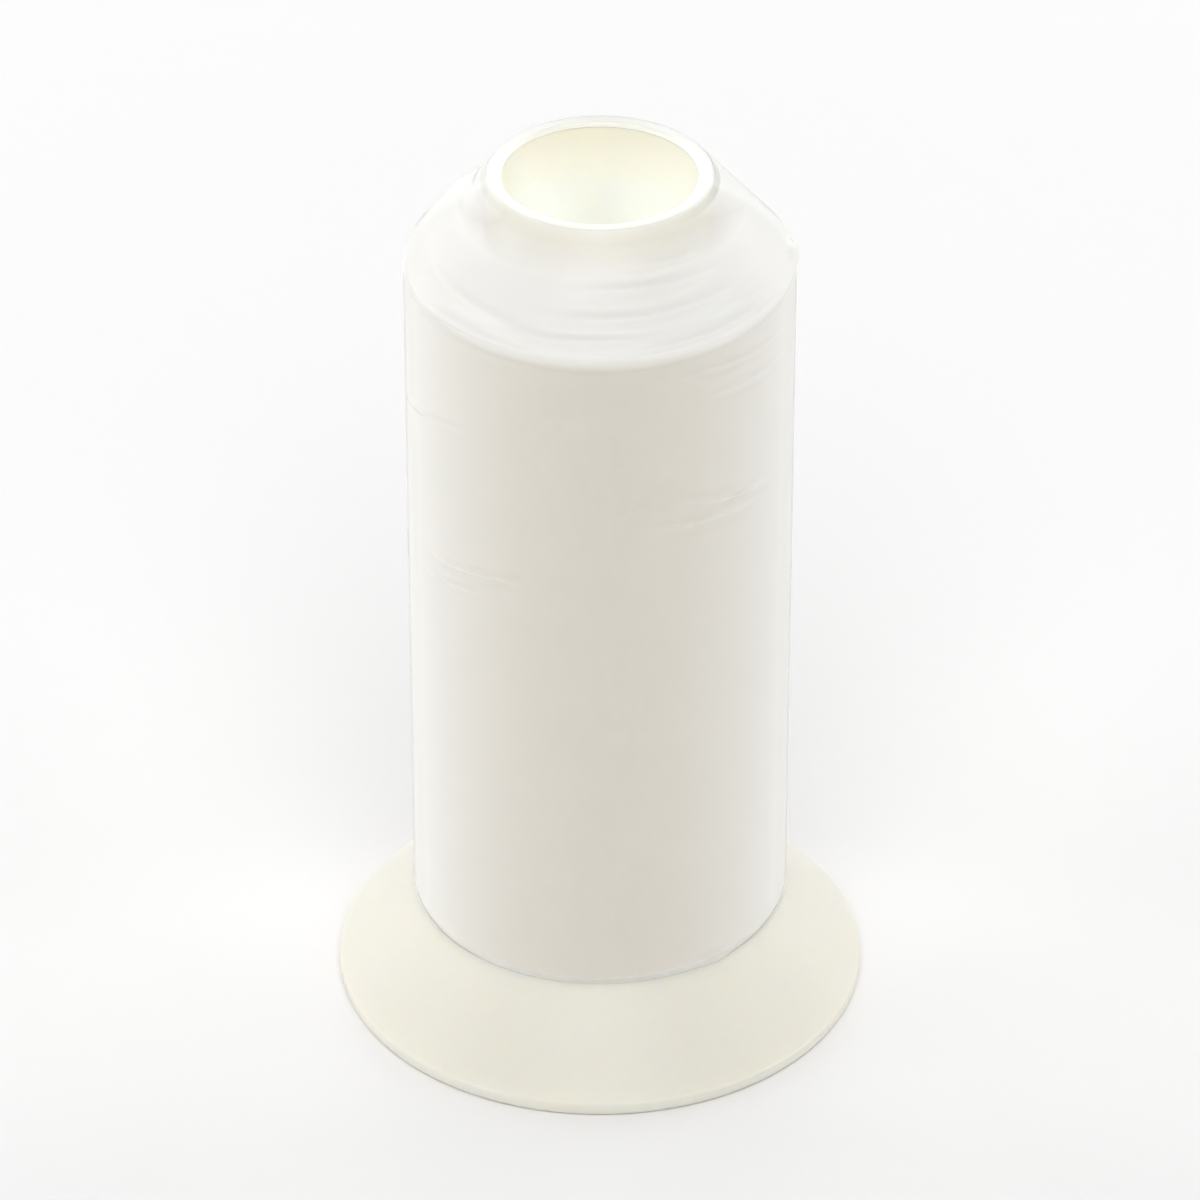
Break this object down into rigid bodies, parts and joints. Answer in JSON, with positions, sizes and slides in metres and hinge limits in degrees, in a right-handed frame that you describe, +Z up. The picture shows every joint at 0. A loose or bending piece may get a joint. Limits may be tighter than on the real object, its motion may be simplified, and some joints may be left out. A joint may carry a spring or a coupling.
{
  "type": "thread spool",
  "caption": "King spool of white sewing thread on a flared plastic core, in a clear shrink sleeve, for a machine's thread stand.",
  "frame": {"origin": "centre of the foot, on the surface that the spool stands on", "axes": "+Z up along the spool's axis, from the foot to the open rim; the sleeve's folded side is towards +X"},
  "size_m": [0.075, 0.075, 0.1314],
  "materials": {
    "core_plastic": "satin, slightly translucent cream moulding",
    "thread": "off-white spun thread, closely cross-wound",
    "film": "clear glossy shrink film with wrinkles"
  },
  "bodies": {
    "root": {"spool_core": "core_plastic", "thread_package": "thread", "shrink_sleeve": "film"}
  },
  "joints": []
}
